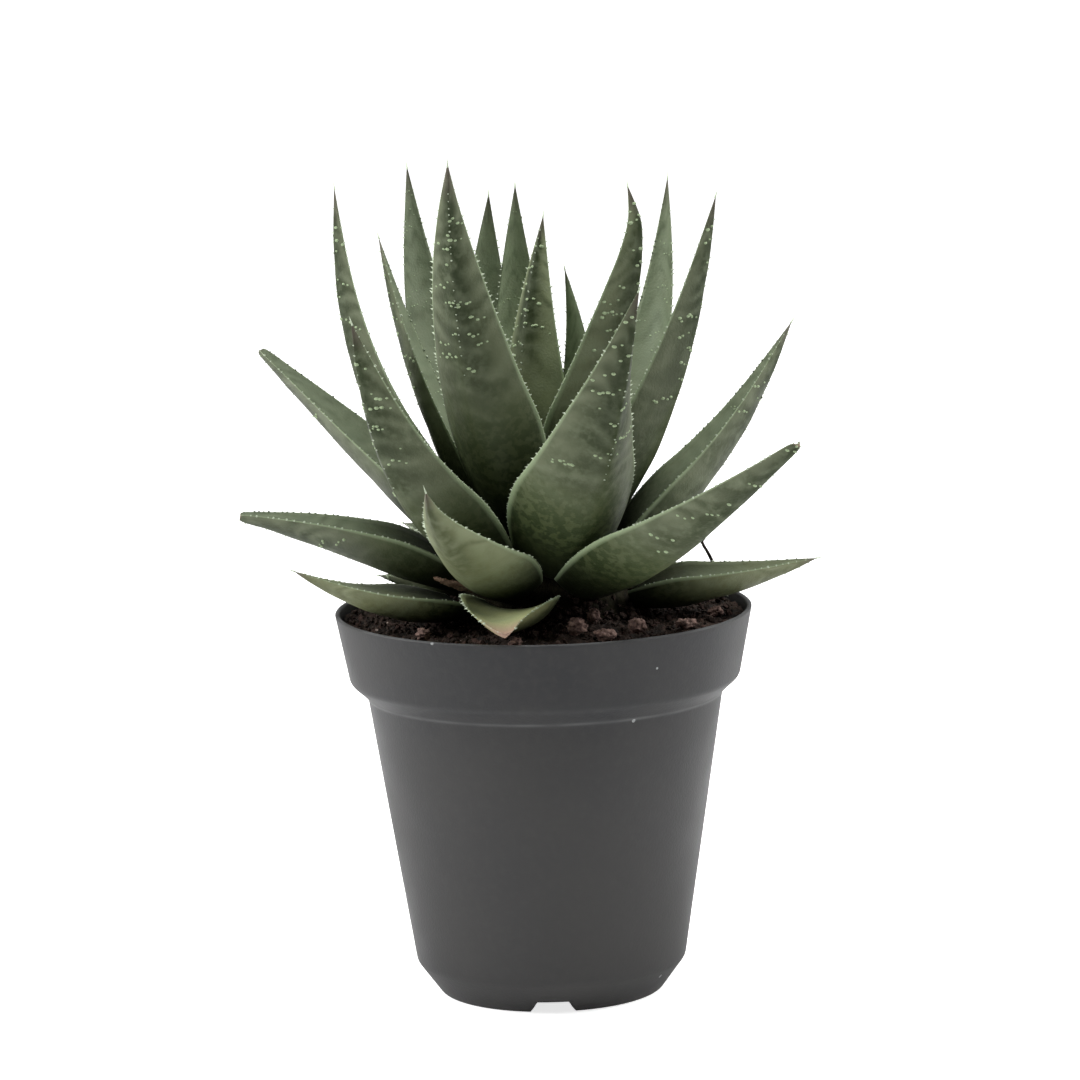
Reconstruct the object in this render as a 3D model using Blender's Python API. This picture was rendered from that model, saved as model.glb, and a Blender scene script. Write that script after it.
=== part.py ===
"""A potted haworthia: a nursery pot, its soil, a short crown and the rosette of leaves seated on it.

Sizes are in millimetres and angles in degrees. The pot stands on z = 0 with its axis on Z, and the
front is towards -Y. Every leaf grows out of the crown's dome, so its base is placed by two angles.
"""

import math
import random
from collections import namedtuple

import bmesh
import bpy
from mathutils import Matrix, Vector

MM = 0.001
CLEARANCE = 0.4
UP = Vector((0, 0, 1))

# Pot: one injection-moulded shell with a stacking band, a shoulder and a bevelled foot.
POT_HEIGHT = 112.0
RIM_RADIUS = 60.0
BAND_HEIGHT = 20.0
BAND_TAPER = 3.8
SHOULDER_HEIGHT = 4.5
SHOULDER_STEP = 5.0
WALL_TAPER = 12.2
FOOT_BEVEL_HEIGHT = 9.5
FOOT_BEVEL_STEP = 7.0
WALL = 1.4
FLOOR_LIFT = 3.5
FOOT_RING_WIDTH = 2.6
FOOT_RING_SLOPE = 1.0
HUB_RADIUS = 9.0
HUB_SLOPE = 1.5
POT_SIDES = 48
DRAIN_SLOTS = 4
DRAIN_SLOT_FOOT = 13.0
DRAIN_SLOT_HEAD = 8.5
DRAIN_SLOT_REACH = 14.0
DRAIN_HOLES = 4
DRAIN_HOLE_RADIUS = 3.5
DRAIN_HOLE_CIRCLE = 18.0
DRAIN_HOLE_SIDES = 12
CUTTER_REACH = 2.0

# Soil: fills the pot to just under the rim, and is heaped against the crown at the front.
SOIL_TOP = 109.0
SOIL_SIDES = 40
SOIL_RINGS = 6
LUMP_HEIGHT = 0.5
SOCKET_MOUTH_DROP = 0.6
HEAP_HEADING = 291.0
HEAP_HALF_ANGLE = 24.0
HEAP_HEIGHT = 5.0
HEAP_REACH = 15.0

# Crown: the dome that carries the leaves, on a root stump that goes down into the soil. ROOT is the
# stump's outline, as (radius, height) from its tip up.
DOME_FOOT = 110.0
DOME_RADIUS = 25.0
DOME_HEIGHT = 31.0
ROOT = ((3.0, 62.0), (6.5, 82.0), (12.0, 97.0), (22.0, 104.5))
CROWN_SIDES = 24
DOME_STEPS = 6

# Leaf form, as shares of the leaf's length, width or half width.
SPINE_STEPS = 40
LEAF_RINGS = 10
BASE_WIDTH = 0.75
HEART_BASE_WIDTH = 0.45
BASE_DEPTH = 0.55
LEAF_DEPTH = 0.24
SHOULDER_AT = 0.28
SEAT_GAP = 0.8
TAPER_ROUNDING = 0.35
DEPTH_TAPER = 0.8
KEEL_START = 0.15
BLUNT_END_RISE = 0.8
HOOK_FROM = 0.7
UPPER_ACROSS = (-1.0, -0.5, 0.0, 0.5, 1.0)
LOWER_ACROSS = (0.8, 0.42, 0.0, -0.42, -0.8)

# Bark in the soil: centre x and y, then length, width, height and turn.
BARK_CHIPS = (
    (9, -43, 6, 5, 5, 20),
    (14, -34, 5, 4, 4, 70),
    (17, -50, 6, 4, 4, 160),
    (26, -41, 5, 5, 5, 0),
    (40, -32, 7, 4, 3, 30),
    (49, -14, 5, 4, 3, 0),
    (-8, -54, 4, 4, 3, 40),
    (-34, -42, 5, 4, 4, 60),
    (12, 48, 6, 5, 4, 120),
)
CHIP_ROUGHNESS = 0.16
CHIP_SINK_GAP = 0.9

# A stiff dried root standing in the soil behind the right-hand rim leaf.
FIBRE_PATH = ((52, 13, 110.4), (51, 16, 117), (48.5, 18, 123), (46.5, 17, 127), (48, 16, 130.5))
FIBRE_RADIUS = 0.5
FIBRE_SIDES = 6

# Whorls, from the rim of the pot up to the heart. seat: how far up the dome the bases sit.
# lift: how much steeper than its seat a leaf starts. width: across a leaf's shoulder.
Whorl = namedtuple("Whorl", "seat lift width")
RIM = Whorl(6, 0, 28)
LOW = Whorl(17, 6, 32)
MID = Whorl(29, 12, 34)
OUTER = Whorl(40, 12, 30)
INNER = Whorl(52, 10, 30)
HEART = Whorl(68, 0, 24)

# heading: compass direction of the leaf's base, 0 at +X and 270 to the front.
# rise: slope of the leaf at its tip. sweep: how far the heading turns by the tip.
# roll: how far the leaf turns about its own line. cup: how far the margins fold up.
# breadth: width as a share of the whorl's. raised: degrees of seat above the whorl's.
# blunt: share of the tip that has died back. hook: further bend in the last stretch, from HOOK_FROM.
Leaf = namedtuple(
    "Leaf",
    "name whorl heading rise length sweep roll cup breadth raised blunt hook",
    defaults=(0, 0, 0.3, 1.0, 0, 0.0, 0),
)

LEAVES = (
    Leaf("leaf_rim_left", RIM, 205, 30, 55, cup=0.1, breadth=1.1),
    Leaf("leaf_rim_front", RIM, 255, 0, 45, sweep=35, blunt=0.1),
    Leaf("leaf_rim_right", RIM, 355, 20, 55),
    Leaf("leaf_rim_back_right", RIM, 55, 10, 50),
    Leaf("leaf_rim_back", RIM, 105, 10, 55),
    Leaf("leaf_rim_back_left", RIM, 150, 10, 30, breadth=0.8),
    Leaf("leaf_low_left", LOW, 185, 15, 72, blunt=0.1),
    Leaf("leaf_curled_front", LOW, 245, 45, 65, breadth=0.9, hook=40),
    Leaf("leaf_low_right", LOW, 305, 40, 110, sweep=25, blunt=0.1),
    Leaf("leaf_low_back_right", LOW, 45, 15, 45, breadth=0.8),
    Leaf("leaf_low_back", LOW, 90, 30, 70, breadth=0.8),
    Leaf("leaf_low_back_left", LOW, 135, 15, 35, breadth=0.7),
    Leaf("leaf_mid_left", MID, 160, 45, 95, breadth=0.8, blunt=0.1),
    Leaf("leaf_front_left", MID, 219, 80, 90),
    Leaf("leaf_front_right", MID, 286, 75, 105, sweep=35, roll=10, cup=0.4, breadth=1.1),
    Leaf("leaf_mid_right", MID, 5, 65, 85, breadth=0.9),
    Leaf("leaf_mid_back_right", MID, 60, 60, 75, breadth=0.6),
    Leaf("leaf_back_narrow", MID, 105, 110, 115, breadth=0.8),
    Leaf("leaf_tall_left", OUTER, 190, 90, 115, breadth=0.9),
    Leaf("leaf_back_tall", OUTER, 130, 90, 115, breadth=0.9),
    Leaf("leaf_back_right", OUTER, 45, 90, 110, breadth=0.8),
    Leaf("leaf_tall_right", OUTER, 345, 80, 105, raised=8),
    Leaf("leaf_tall_front", INNER, 240, 75, 120, sweep=35),
    Leaf("leaf_slim_left", INNER, 170, 80, 90, breadth=0.7),
    Leaf("leaf_right_hooked", HEART, 330, 80, 100, breadth=1.4, hook=45),
    Leaf("leaf_heart_back", HEART, 105, 100, 95, breadth=0.9),
    Leaf("leaf_heart_right", HEART, 60, 115, 75, breadth=0.6, raised=-8),
    Leaf("leaf_heart", HEART, 235, 110, 85, raised=14),
)

# Shrivelled old leaves, still held between the bases of the live ones.
SHRIVELLED = Whorl(18, 0, 8)
DRIED_LEAVES = (
    Leaf("dried_leaf_left", SHRIVELLED, 217, 25, 20, cup=0.1, blunt=0.3),
    Leaf("dried_leaf_right", SHRIVELLED, 10, 20, 20, cup=0.2, blunt=0.2),
)


def polar(radius, degrees, height=0.0):
    """The point at that radius and compass direction, in millimetres."""
    angle = math.radians(degrees)
    return Vector((radius * math.cos(angle), radius * math.sin(angle), height))


def finish(name, bm, colour, roughness):
    """Turns a closed bmesh in millimetres into a named, smooth-shaded object with its material."""
    bmesh.ops.recalc_face_normals(bm, faces=bm.faces)
    bmesh.ops.transform(bm, matrix=Matrix.Scale(MM, 4), verts=bm.verts)
    mesh = bpy.data.meshes.new(name)
    bm.to_mesh(mesh)
    bm.free()
    mesh.shade_smooth()
    mesh.set_sharp_from_angle(angle=math.radians(35))
    material = bpy.data.materials.new(name)
    material.use_nodes = True
    shader = material.node_tree.nodes["Principled BSDF"]
    shader.inputs["Base Color"].default_value = (*colour, 1)
    shader.inputs["Roughness"].default_value = roughness
    shader.inputs["Metallic"].default_value = 0
    mesh.materials.append(material)
    obj = bpy.data.objects.new(name, mesh)
    bpy.context.scene.collection.objects.link(obj)
    return obj


def turned(outline, sides):
    """A bmesh of an outline of (radius, height) points, from axis to axis, spun once round Z."""
    bm = bmesh.new()
    points = [bm.verts.new((radius, 0, height)) for radius, height in outline]
    edges = [bm.edges.new(pair) for pair in zip(points, points[1:])]
    bmesh.ops.spin(bm, geom=points + edges, axis=UP, cent=(0, 0, 0), angle=math.tau, steps=sides)
    bmesh.ops.remove_doubles(bm, verts=bm.verts, dist=0.001)
    return bm


def make_pot():
    """The shell, turned from its wall outline, with the drain slots cut out of its foot."""
    band_foot = RIM_RADIUS - BAND_TAPER
    wall_top = band_foot - SHOULDER_STEP
    wall_foot = wall_top - WALL_TAPER
    foot = wall_foot - FOOT_BEVEL_STEP
    shoulder_top = POT_HEIGHT - BAND_HEIGHT
    wall_head = shoulder_top - SHOULDER_HEIGHT
    outside = [
        (foot, 0.0),
        (wall_foot, FOOT_BEVEL_HEIGHT),
        (wall_top, wall_head),
        (band_foot, shoulder_top),
        (RIM_RADIUS, POT_HEIGHT),
    ]
    underside = [
        (0.0, 0.0),
        (HUB_RADIUS, 0.0),
        (HUB_RADIUS + HUB_SLOPE, FLOOR_LIFT),
        (foot - FOOT_RING_WIDTH - FOOT_RING_SLOPE, FLOOR_LIFT),
        (foot - FOOT_RING_WIDTH, 0.0),
    ]
    inside = [(radius - WALL, height) for radius, height in reversed(outside[1:])]
    floor = FLOOR_LIFT + WALL
    bm = turned(underside + outside + inside + [(foot - WALL, floor), (0.0, floor)], POT_SIDES)
    pot = finish("pot", bm, (0.06, 0.06, 0.065), 0.5)
    cut = pot.modifiers.new("Drain slots", "BOOLEAN")
    cut.operation = "DIFFERENCE"
    cut.solver = "EXACT"
    cut.object = make_drain_cutter(foot)


def make_drain_cutter(foot):
    """One guide holding a block for each slot in the foot and a drum for each hole in the floor."""
    bm = bmesh.new()
    slot_size = (DRAIN_SLOT_REACH, 1.0, FLOOR_LIFT + CUTTER_REACH)
    widening = (DRAIN_SLOT_FOOT - DRAIN_SLOT_HEAD) / FLOOR_LIFT
    for turn in (360 * n / DRAIN_SLOTS for n in range(DRAIN_SLOTS)):
        spin = Matrix.Rotation(math.radians(turn - 90), 4, "Z")
        slot = bmesh.ops.create_cube(bm, size=1.0)["verts"]
        bmesh.ops.scale(bm, vec=slot_size, verts=slot)
        bmesh.ops.translate(bm, vec=(foot, 0, FLOOR_LIFT - slot_size[2] / 2), verts=slot)
        for corner in slot:
            corner.co.y *= DRAIN_SLOT_HEAD + widening * (FLOOR_LIFT - corner.co.z)
        bmesh.ops.transform(bm, matrix=spin, verts=slot)
    for turn in (360 * n / DRAIN_HOLES for n in range(DRAIN_HOLES)):
        centre = polar(DRAIN_HOLE_CIRCLE, turn + 45, FLOOR_LIFT)
        bmesh.ops.create_cone(
            bm,
            cap_ends=True,
            segments=DRAIN_HOLE_SIDES,
            radius1=DRAIN_HOLE_RADIUS,
            radius2=DRAIN_HOLE_RADIUS,
            depth=2 * (WALL + CUTTER_REACH),
            matrix=Matrix.Translation(centre),
        )
    cutter = finish("pot_drain_cutter", bm, (0.5, 0.5, 0.5), 0.5)
    cutter.hide_render = True
    cutter.display_type = "WIRE"
    return cutter


def crown_outline(gap=0.0):
    """The root stump and the dome, from the root's tip up to the growing point, grown by a gap."""
    dome = [
        (DOME_RADIUS * math.cos(slope), DOME_FOOT + DOME_HEIGHT * math.sin(slope))
        for slope in (math.radians(90 * n / DOME_STEPS) for n in range(DOME_STEPS))
    ]
    grown = [(radius + gap, height) for radius, height in [*ROOT, *dome]]
    return [(0.0, ROOT[0][1] - gap)] + grown + [(0.0, DOME_FOOT + DOME_HEIGHT)]


def make_crown():
    finish("crown", turned(crown_outline(), CROWN_SIDES), (0.19, 0.16, 0.08), 0.8)


def inner_wall(height):
    """Inner radius of the pot's wall between its foot bevel and its rim."""
    shoulder_top = POT_HEIGHT - BAND_HEIGHT
    wall_head = shoulder_top - SHOULDER_HEIGHT
    band_foot = RIM_RADIUS - BAND_TAPER
    wall_top = band_foot - SHOULDER_STEP
    if height >= shoulder_top:
        share = (height - shoulder_top) / BAND_HEIGHT
        return band_foot + share * BAND_TAPER - WALL
    share = (height - FOOT_BEVEL_HEIGHT) / (wall_head - FOOT_BEVEL_HEIGHT)
    return wall_top - (1 - share) * WALL_TAPER - WALL


def soil_level(x, y):
    """Height of the soil's top: level, but for the heap against the crown."""
    heading = math.degrees(math.atan2(y, x)) - HEAP_HEADING
    offset = (heading + 180) % 360 - 180
    reach = (math.hypot(x, y) - DOME_RADIUS) / HEAP_REACH
    heap = math.exp(-((offset / HEAP_HALF_ANGLE) ** 2) - max(0.0, reach) ** 2)
    return SOIL_TOP + HEAP_HEIGHT * heap


def make_soil():
    """The root ball of peat: the pot's inside, less a socket for the crown, with a lumpy top."""
    shoulder_top = POT_HEIGHT - BAND_HEIGHT
    wall_head = shoulder_top - SHOULDER_HEIGHT
    side = [
        (inner_wall(height) - CLEARANCE, height)
        for height in (FOOT_BEVEL_HEIGHT, wall_head, shoulder_top, SOIL_TOP)
    ]
    floor = FLOOR_LIFT + WALL + CLEARANCE
    edge = side[-1][0]
    mouth = DOME_RADIUS + 2 * CLEARANCE
    top = [
        (edge + (mouth - edge) * ring / SOIL_RINGS, SOIL_TOP) for ring in range(1, SOIL_RINGS + 1)
    ]
    mouth_foot = SOIL_TOP - SOCKET_MOUTH_DROP
    socket = [point for point in crown_outline(CLEARANCE) if point[1] < mouth_foot]
    socket.append((mouth, mouth_foot))
    outline = [(0.0, floor), (side[0][0] - FOOT_BEVEL_STEP, floor)] + side + top
    bm = turned(outline + socket[::-1], SOIL_SIDES)
    lumps = random.Random(11)
    for vert in bm.verts:
        if vert.co.z > SOIL_TOP - 0.1 and vert.co.xy.length < edge - 1:
            vert.co.z = soil_level(vert.co.x, vert.co.y) + lumps.uniform(-LUMP_HEIGHT, LUMP_HEIGHT)
    finish("soil", bm, (0.03, 0.02, 0.015), 1.0)


def dome_point(heading, seat):
    """Where a leaf of that heading and seat angle leaves the crown, just clear of the dome."""
    slope = math.radians(seat)
    radius = (DOME_RADIUS + SEAT_GAP) * math.cos(slope)
    height = DOME_FOOT + (DOME_HEIGHT + SEAT_GAP) * math.sin(slope)
    return polar(radius, heading, height)


def direction(heading, rise):
    return polar(math.cos(math.radians(rise)), heading, math.sin(math.radians(rise)))


def seat_of(leaf):
    """How far up the dome a leaf's base sits, in degrees."""
    return leaf.whorl.seat + leaf.raised


def spine(leaf):
    """Stations along the middle of a leaf, as (share, point, across, upward), base to tip."""
    point = dome_point(leaf.heading, seat_of(leaf))
    start = seat_of(leaf) + leaf.whorl.lift
    stations = []
    step = leaf.length / SPINE_STEPS
    for n in range(SPINE_STEPS + 1):
        share = n / SPINE_STEPS
        ease = share * share * (3 - 2 * share)
        heading = leaf.heading + leaf.sweep * share * share
        bend = leaf.hook * (max(0.0, share - HOOK_FROM) / (1 - HOOK_FROM)) ** 2
        along = direction(heading, start + (leaf.rise - start) * ease + bend)
        across = direction(heading - 90, 0)
        turn = Matrix.Rotation(math.radians(leaf.roll) * share, 3, along)
        stations.append((share, point.copy(), turn @ across, turn @ across.cross(along)))
        point += along * step
    return stations


def half_width(leaf, share):
    """Widest at the shoulder, narrowing to the base and in a nearly straight line to the tip."""
    reach = min(1.0, (1 - share) / (1 - SHOULDER_AT))
    taper = (1 - TAPER_ROUNDING) * reach + TAPER_ROUNDING * math.sin(math.pi / 2 * reach)
    neck = max(0.0, 1 - share / SHOULDER_AT) ** 2
    foot = HEART_BASE_WIDTH + (BASE_WIDTH - HEART_BASE_WIDTH) * math.cos(math.radians(seat_of(leaf)))
    return leaf.whorl.width * leaf.breadth / 2 * taper * (1 - (1 - foot) * neck)


def depth(leaf, share):
    """Thickness at the keel: thickest in the lower half, thinner at the base and the tip."""
    swell = BASE_DEPTH + (1 - BASE_DEPTH) * math.sin(math.pi / 2 * min(1.0, share / SHOULDER_AT))
    taper = min(1.0, (1 - share) / (1 - SHOULDER_AT)) ** DEPTH_TAPER
    return LEAF_DEPTH * leaf.whorl.width * leaf.breadth * swell * taper


def section(leaf, share):
    """(across, up) offsets of one ring: the hollow upper face, then the keeled lower face."""
    half = half_width(leaf, share)
    thick = depth(leaf, share)
    keel = max(0.0, share - KEEL_START) / (1 - KEEL_START)
    ring = [(across * half, leaf.cup * half * across**2 + thick / 2) for across in UPPER_ACROSS]
    for across in LOWER_ACROSS:
        rounded = math.sqrt(1 - across**2)
        folded = 1 - abs(across)
        drop = thick * (rounded + (folded - rounded) * keel)
        ring.append((across * half, leaf.cup * half * across**2 + thick / 2 - drop))
    return ring


def make_leaf(leaf, colour):
    """One leaf, lofted ring by ring from its seat on the dome to its point or its dried end."""
    bm = bmesh.new()
    stations = spine(leaf)
    rings = []
    for n in range(LEAF_RINGS):
        share = (1 - leaf.blunt) * n / (LEAF_RINGS - (leaf.blunt > 0))
        share, point, across, upward = stations[round(share * SPINE_STEPS)]
        ring = [point + across * x + upward * y for x, y in section(leaf, share)]
        rings.append([bm.verts.new(corner) for corner in ring])
    if leaf.blunt:
        middle = sum((vert.co for vert in rings[-1]), Vector()) / len(rings[-1])
        tip = bm.verts.new(middle + across.cross(upward) * -BLUNT_END_RISE)
    else:
        tip = bm.verts.new(stations[-1][1])
    for lower, upper in zip(rings, rings[1:]):
        for n, corner in enumerate(lower):
            bm.faces.new((corner, lower[n - 1], upper[n - 1], upper[n]))
    for n, corner in enumerate(rings[-1]):
        bm.faces.new((corner, rings[-1][n - 1], tip))
    bm.faces.new(rings[0])
    finish(leaf.name, bm, colour, 0.5)


def make_bark_chip(number, x, y, length, width, height, turn):
    """An angular chip of pine bark: a faceted lump, stretched, turned and laid on the soil."""
    bm = bmesh.new()
    bmesh.ops.create_icosphere(bm, subdivisions=2, radius=0.5)
    chips = random.Random(number)
    for vert in bm.verts:
        vert.co *= 1 + chips.uniform(-CHIP_ROUGHNESS, CHIP_ROUGHNESS)
    lie = soil_level(x, y) + LUMP_HEIGHT + CHIP_SINK_GAP + height / 2
    place = Matrix.Translation((x, y, lie)) @ Matrix.Rotation(math.radians(turn), 4, "Z")
    stretch = Matrix.Diagonal((length, width, height, 1))
    bmesh.ops.transform(bm, matrix=place @ stretch, verts=bm.verts)
    finish(f"bark_chip_{number}", bm, (0.16, 0.1, 0.08), 0.9)


def make_root_fibre():
    """A thin six-sided root, bent along its path."""
    bm = bmesh.new()
    path = [Vector(point) for point in FIBRE_PATH]
    rings = []
    for n, point in enumerate(path):
        before = path[max(n - 1, 0)]
        after = path[min(n + 1, len(path) - 1)]
        frame = (after - before).to_track_quat("Z", "Y").to_matrix()
        corners = [frame @ polar(FIBRE_RADIUS, 360 * side / FIBRE_SIDES) for side in range(FIBRE_SIDES)]
        rings.append([bm.verts.new(point + corner) for corner in corners])
    for lower, upper in zip(rings, rings[1:]):
        for n, corner in enumerate(lower):
            bm.faces.new((corner, lower[n - 1], upper[n - 1], upper[n]))
    bm.faces.new(rings[0])
    bm.faces.new(rings[-1])
    finish("root_fibre", bm, (0.05, 0.04, 0.03), 0.9)


def clear_scene():
    for obj in list(bpy.data.objects):
        bpy.data.objects.remove(obj, do_unlink=True)


clear_scene()
make_pot()
make_crown()
make_soil()
for leaf in LEAVES:
    make_leaf(leaf, (0.16, 0.22, 0.13))
for leaf in DRIED_LEAVES:
    make_leaf(leaf, (0.22, 0.14, 0.09))
for number, chip in enumerate(BARK_CHIPS, start=1):
    make_bark_chip(number, *chip)
make_root_fibre()
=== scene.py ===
import math
import random

import bmesh
import bpy
from mathutils import Matrix, Vector, noise
from mathutils.bvhtree import BVHTree


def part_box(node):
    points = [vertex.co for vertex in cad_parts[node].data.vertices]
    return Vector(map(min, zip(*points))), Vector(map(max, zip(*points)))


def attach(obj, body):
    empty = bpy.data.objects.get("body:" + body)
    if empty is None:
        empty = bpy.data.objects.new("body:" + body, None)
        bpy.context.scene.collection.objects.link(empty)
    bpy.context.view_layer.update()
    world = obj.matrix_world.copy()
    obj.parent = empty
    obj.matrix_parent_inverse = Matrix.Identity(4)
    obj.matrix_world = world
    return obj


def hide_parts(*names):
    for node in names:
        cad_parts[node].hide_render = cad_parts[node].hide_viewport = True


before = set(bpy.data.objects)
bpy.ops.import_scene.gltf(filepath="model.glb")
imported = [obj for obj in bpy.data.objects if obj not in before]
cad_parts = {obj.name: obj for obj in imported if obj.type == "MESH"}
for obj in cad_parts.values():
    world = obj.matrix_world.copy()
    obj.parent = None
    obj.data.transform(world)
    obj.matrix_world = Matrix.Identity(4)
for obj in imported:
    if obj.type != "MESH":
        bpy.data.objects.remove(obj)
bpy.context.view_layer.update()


# ---------------------------------------------------------------- table, light and camera
# The plant stands on a wide white table that runs out of sight, in a white surround. Large soft lamps
# stand on its left, its right and above it, and the side that faces the camera gets the least light.

TABLE_SIZE = 40.0
TABLE_GLOW = 0.15
TABLE_GLOW_SEEN = 0.75
CAMERA_PLACE = Vector((-0.0005, -1.63, 0.405))
CAMERA_TARGET = Vector((-0.0005, 0.0, 0.1315))
CAMERA_LENS = 191.8
CAMERA_ROLL = -1.4
CAMERA_FILM = 36
SURROUND_SIDE = 0.58
SURROUND_FRONT = 0.02

# Each lamp's name, place, diameter and power.
LAMPS = (
    ("lamp_left", (-1.1, -0.1, 0.7), 0.7, 14),
    ("lamp_right", (1.1, 0.1, 0.7), 0.8, 10),
    ("lamp_above", (0.0, -0.1, 1.4), 0.9, 18),
)


def wire(tree, source, target):
    tree.links.new(source, target)


def make_table():
    bm = bmesh.new()
    bmesh.ops.create_grid(bm, x_segments=8, y_segments=8, size=TABLE_SIZE / 2)
    mesh = bpy.data.meshes.new("table")
    bm.to_mesh(mesh)
    bm.free()
    table = bpy.data.objects.new("table", mesh)
    bpy.context.scene.collection.objects.link(table)
    material = bpy.data.materials.new("white_table")
    material.use_nodes = True
    shader = material.node_tree.nodes["Principled BSDF"]
    shader.inputs["Base Color"].default_value = (0.93, 0.93, 0.93, 1)
    shader.inputs["Roughness"].default_value = 0.9
    shader.inputs["Emission Color"].default_value = (1, 1, 1, 1)
    seen = material.node_tree.nodes.new("ShaderNodeLightPath")
    glow = material.node_tree.nodes.new("ShaderNodeMapRange")
    glow.inputs["To Min"].default_value = TABLE_GLOW
    glow.inputs["To Max"].default_value = TABLE_GLOW_SEEN
    wire(material.node_tree, seen.outputs["Is Camera Ray"], glow.inputs["Value"])
    wire(material.node_tree, glow.outputs["Result"], shader.inputs["Emission Strength"])
    mesh.materials.append(material)


def make_surround():
    """A white room, darker on the camera's side, and plain white where the camera sees it."""
    world = bpy.data.worlds.new("surround")
    bpy.context.scene.world = world
    world.use_nodes = True
    tree = world.node_tree
    background = tree.nodes["Background"]
    place = tree.nodes.new("ShaderNodeTexCoord")
    split = tree.nodes.new("ShaderNodeSeparateXYZ")
    falloff = tree.nodes.new("ShaderNodeMapRange")
    falloff.inputs["From Min"].default_value = -0.9
    falloff.inputs["From Max"].default_value = 0.1
    falloff.inputs["To Min"].default_value = SURROUND_FRONT
    falloff.inputs["To Max"].default_value = SURROUND_SIDE
    seen = tree.nodes.new("ShaderNodeLightPath")
    strongest = tree.nodes.new("ShaderNodeMath")
    strongest.operation = "MAXIMUM"
    wire(tree, place.outputs["Generated"], split.inputs[0])
    wire(tree, split.outputs["Y"], falloff.inputs["Value"])
    wire(tree, falloff.outputs["Result"], strongest.inputs[0])
    wire(tree, seen.outputs["Is Camera Ray"], strongest.inputs[1])
    wire(tree, strongest.outputs[0], background.inputs["Strength"])
    background.inputs["Color"].default_value = (1, 1, 1, 1)


def make_lamp(name, place, size, power):
    lamp = bpy.data.lights.new(name, "AREA")
    lamp.shape = "DISK"
    lamp.size = size
    lamp.energy = power
    obj = bpy.data.objects.new(name, lamp)
    bpy.context.scene.collection.objects.link(obj)
    obj.location = place
    obj.rotation_euler = (CAMERA_TARGET - Vector(place)).to_track_quat("-Z", "Y").to_euler()


def make_camera():
    data = bpy.data.cameras.new("camera")
    data.lens = CAMERA_LENS
    data.sensor_width = CAMERA_FILM
    data.clip_end = 60
    camera = bpy.data.objects.new("camera", data)
    bpy.context.scene.collection.objects.link(camera)
    bpy.context.scene.camera = camera
    look = (CAMERA_TARGET - CAMERA_PLACE).to_track_quat("-Z", "Y").to_matrix().to_4x4()
    roll = Matrix.Rotation(math.radians(CAMERA_ROLL), 4, "Z")
    camera.matrix_world = Matrix.Translation(CAMERA_PLACE) @ look @ roll


make_table()
make_surround()
for lamp in LAMPS:
    make_lamp(*lamp)
make_camera()
bpy.context.scene.view_settings.view_transform = "Standard"


# ---------------------------------------------------------------- pot
# A nursery pot, injection moulded in one shot from recycled dark grey plastic. Its wall is thin, the
# band at the top lets pots nest, and notches in the foot let water out. It carries a little dust, and
# its wall below the band is painted paler towards the foot: painted light for the bounce from the table.

MM = 0.001
POT_WALL = 1.4 * MM
POT_TURNS = 240
POT_BAND = 20.0 * MM
POT_BAND_TAPER = 3.8 * MM
POT_SHOULDER = 4.5 * MM
POT_SHOULDER_STEP = 5.0 * MM
POT_WALL_TAPER = 12.2 * MM
POT_BEVEL = 9.5 * MM
POT_BEVEL_STEP = 7.0 * MM
POT_FLOOR_LIFT = 3.5 * MM
POT_FOOT_RING = 2.6 * MM
POT_HUB = 9.0 * MM
POT_HUB_SLOPE = 1.5 * MM
POT_RING_SLOPE = 1.0 * MM
POT_AXIS = 0.1 * MM
POT_LIP = 0.4 * MM
POT_CORNER = 1.1 * MM
POT_MESH = 2.5 * MM
POT_NOTCHES = 4
POT_NOTCH_FOOT = 13.0 * MM
POT_NOTCH_HEAD = 8.5 * MM
POT_SEAM_LIFT = 0.18 * MM
POT_SEAM_WIDTH = 0.35 * MM
POT_WARP = 0.12 * MM
# How much paler the wall below the band is painted towards the foot, and over what height: painted light
# for the bounce from the table.
POT_PAINTED_BOUNCE = 0.35
POT_PAINTED_BOUNCE_FADE = 30.0 * MM
POT_RIM_WEAR = 0.7 * MM
POT_GREY = (0.0155, 0.016, 0.0178, 1)
# The paler grey serves for dust and mottling, and for the painted bounce light on the lower wall.
POT_DUST_AND_BOUNCE_GREY = (0.045, 0.0435, 0.0415, 1)
POT_SPECK = (0.3, 0.31, 0.31, 1)


def multiply(tree, first, second):
    node = tree.nodes.new("ShaderNodeMath")
    node.operation = "MULTIPLY"
    wire(tree, first, node.inputs[0])
    if isinstance(second, float):
        node.inputs[1].default_value = second
    else:
        wire(tree, second, node.inputs[1])
    return node.outputs[0]


def mottle_group():
    """Soft patches over a surface: where patches and finer grain lie, at a chosen size."""
    group = bpy.data.node_groups.new("mottle", "ShaderNodeTree")
    for name, value in (("Patch Scale", 40.0), ("Grain Scale", 600.0)):
        socket = group.interface.new_socket(name, in_out="INPUT", socket_type="NodeSocketFloat")
        socket.default_value = value
    for name in ("Patches", "Grain"):
        group.interface.new_socket(name, in_out="OUTPUT", socket_type="NodeSocketFloat")
    entry = group.nodes.new("NodeGroupInput")
    leave = group.nodes.new("NodeGroupOutput")
    place = group.nodes.new("ShaderNodeTexCoord")
    for name, source, detail in (("Patches", "Patch Scale", 5.0), ("Grain", "Grain Scale", 2.0)):
        cloud = group.nodes.new("ShaderNodeTexNoise")
        cloud.inputs["Detail"].default_value = detail
        wire(group, place.outputs["Object"], cloud.inputs["Vector"])
        wire(group, entry.outputs[source], cloud.inputs["Scale"])
        spread = group.nodes.new("ShaderNodeMapRange")
        spread.inputs["From Min"].default_value = 0.34
        spread.inputs["From Max"].default_value = 0.66
        wire(group, cloud.outputs["Fac"], spread.inputs["Value"])
        wire(group, spread.outputs["Result"], leave.inputs[name])
    return group


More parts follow.
